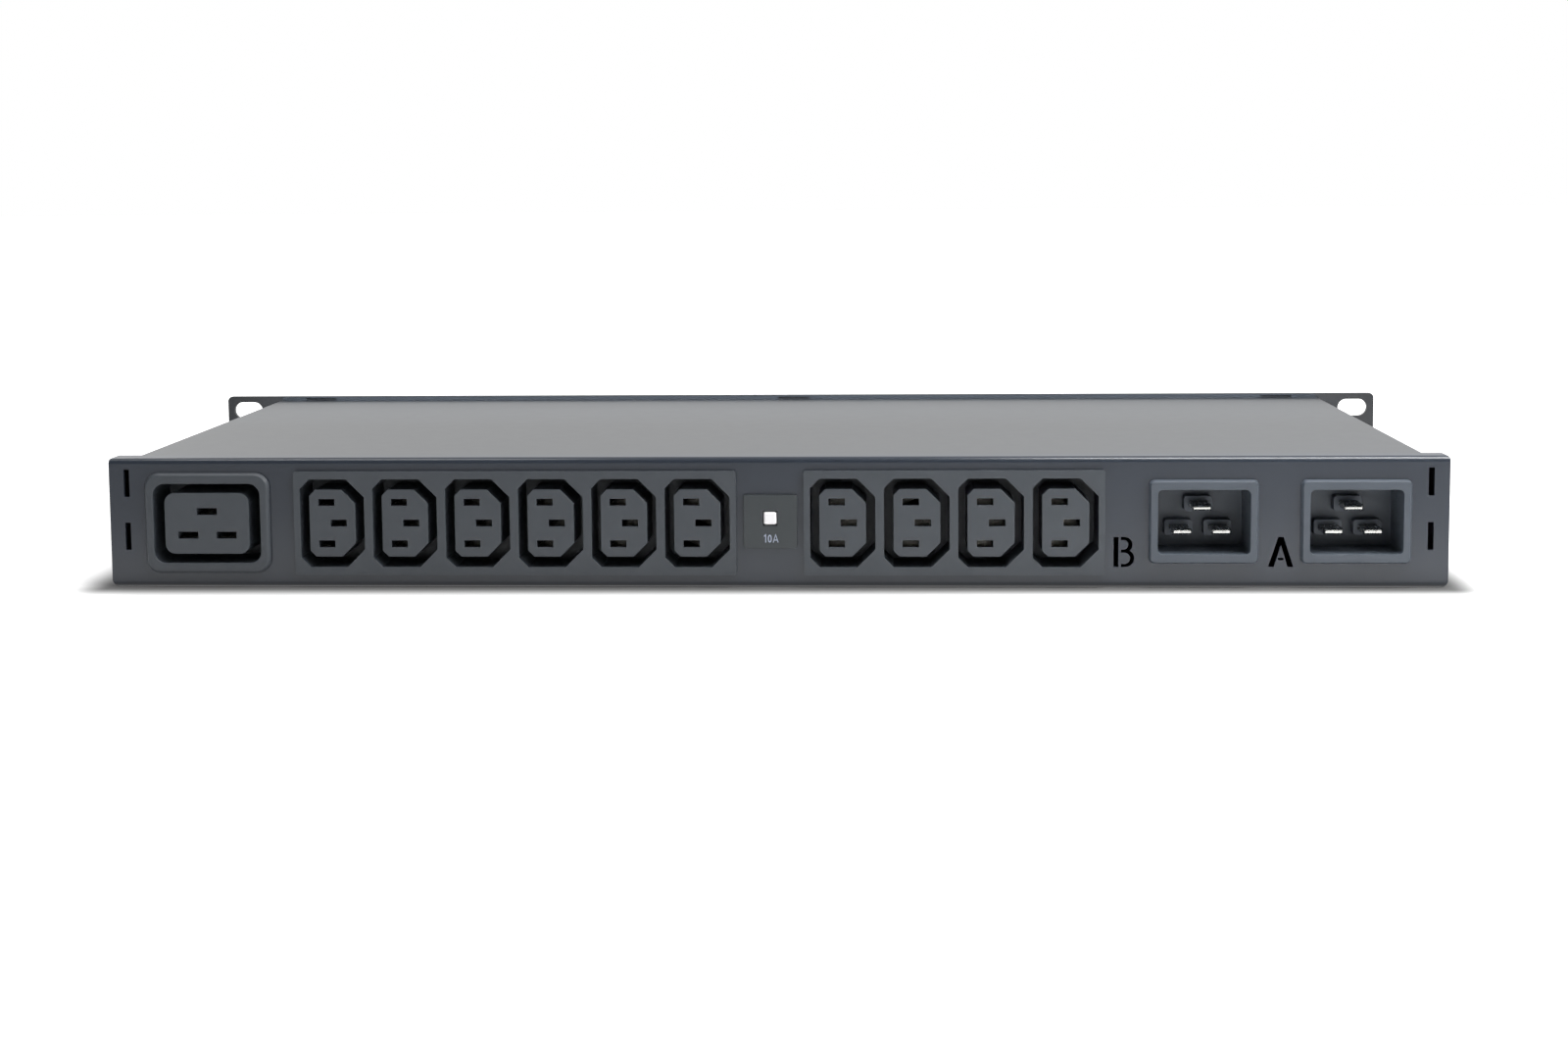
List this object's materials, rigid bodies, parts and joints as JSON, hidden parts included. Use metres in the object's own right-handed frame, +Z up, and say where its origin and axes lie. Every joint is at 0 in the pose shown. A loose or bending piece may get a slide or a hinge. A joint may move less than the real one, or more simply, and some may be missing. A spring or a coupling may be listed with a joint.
{
  "type": "rack static transfer switch",
  "caption": "One-unit rack transfer switch: two C20 inlets feed a C19 outlet and two rows of C13 outlets, with a push-to-reset breaker and rack ears.",
  "frame": {"origin": "middle of the base, on the surface it stands on", "axes": "+X along the rack width, to the right when the rear panel with its outlets is looked at; +Y from the rear panel to the front plate; +Z up"},
  "size_m": [0.4826, 0.1988, 0.0437],
  "materials": {
    "case_black": "fine-textured black-grey powder coat, satin",
    "panel_grey": "anthracite powder coat, satin",
    "front_black": "black powder coat, satin",
    "screw_black": "black zinc plated",
    "outlet_plastic": "dark grey moulded polyamide, fine texture",
    "inlet_plastic": "dark grey moulded thermoplastic",
    "contact_metal": "tin-plated brass spring strip",
    "pin_metal": "nickel-plated brass",
    "breaker_plastic": "dark grey moulded plastic",
    "button_white": "white, smooth",
    "window": "smoked clear plastic",
    "display": "dark display glass",
    "key_plastic": "grey moulded plastic",
    "light_pipe": "clear moulded plastic",
    "jack_shield": "nickel-plated sheet",
    "jack_gold": "gold-plated spring wire",
    "board": "green solder mask",
    "standoff_metal": "nickel-plated",
    "aluminium": "plain extruded",
    "part_black": "black encapsulated",
    "capacitor_yellow": "yellow box"
  },
  "bodies": {
    "case": {"base_tray": "case_black", "rear_panel": "panel_grey", "lid": "case_black", "front_plate": "front_black", "case_screws": "screw_black", "front_screws": "screw_black", "foot_screws": "screw_black", "c19_housing": "outlet_plastic", "c19_core": "outlet_plastic", "c19_contacts": "contact_metal", "c13_left_housing": "outlet_plastic", "c13_left_cores": "outlet_plastic", "c13_left_contacts": "contact_metal", "c13_right_housing": "outlet_plastic", "c13_right_cores": "outlet_plastic", "c13_right_contacts": "contact_metal", "inlet_b_housing": "inlet_plastic", "inlet_b_pins": "pin_metal", "inlet_a_housing": "inlet_plastic", "inlet_a_pins": "pin_metal", "breaker_body": "breaker_plastic", "breaker_terminals": "pin_metal", "display_window": "window", "display_module": "display", "key_switches": "part_black", "status_lights": "light_pipe", "network_jack": "jack_shield", "network_contacts": "jack_gold", "control_board": "board", "control_spacers": "standoff_metal", "outlet_board": "board", "main_board": "board", "board_standoffs": "standoff_metal", "heat_sink": "aluminium", "switch_modules": "part_black", "relays": "part_black", "supply_modules": "part_black", "filter_capacitors": "capacitor_yellow"},
    "breaker_button": {"breaker_button": "button_white"},
    "key_left": {"key_left": "key_plastic"},
    "key_right": {"key_right": "key_plastic"}
  },
  "joints": [
    {"name": "breaker_trip", "type": "slide", "parent": "case", "child": "breaker_button", "axis": [0, -1, 0], "range_m": [0, 0.003]},
    {"name": "key_left_press", "type": "slide", "parent": "case", "child": "key_left", "axis": [0, -1, 0], "range_m": [0, 0.0005], "stiffness_N_per_m": 600, "springref_m": -0.0005},
    {"name": "key_right_press", "type": "slide", "parent": "case", "child": "key_right", "axis": [0, -1, 0], "range_m": [0, 0.0005], "stiffness_N_per_m": 600, "springref_m": -0.0005}
  ]
}
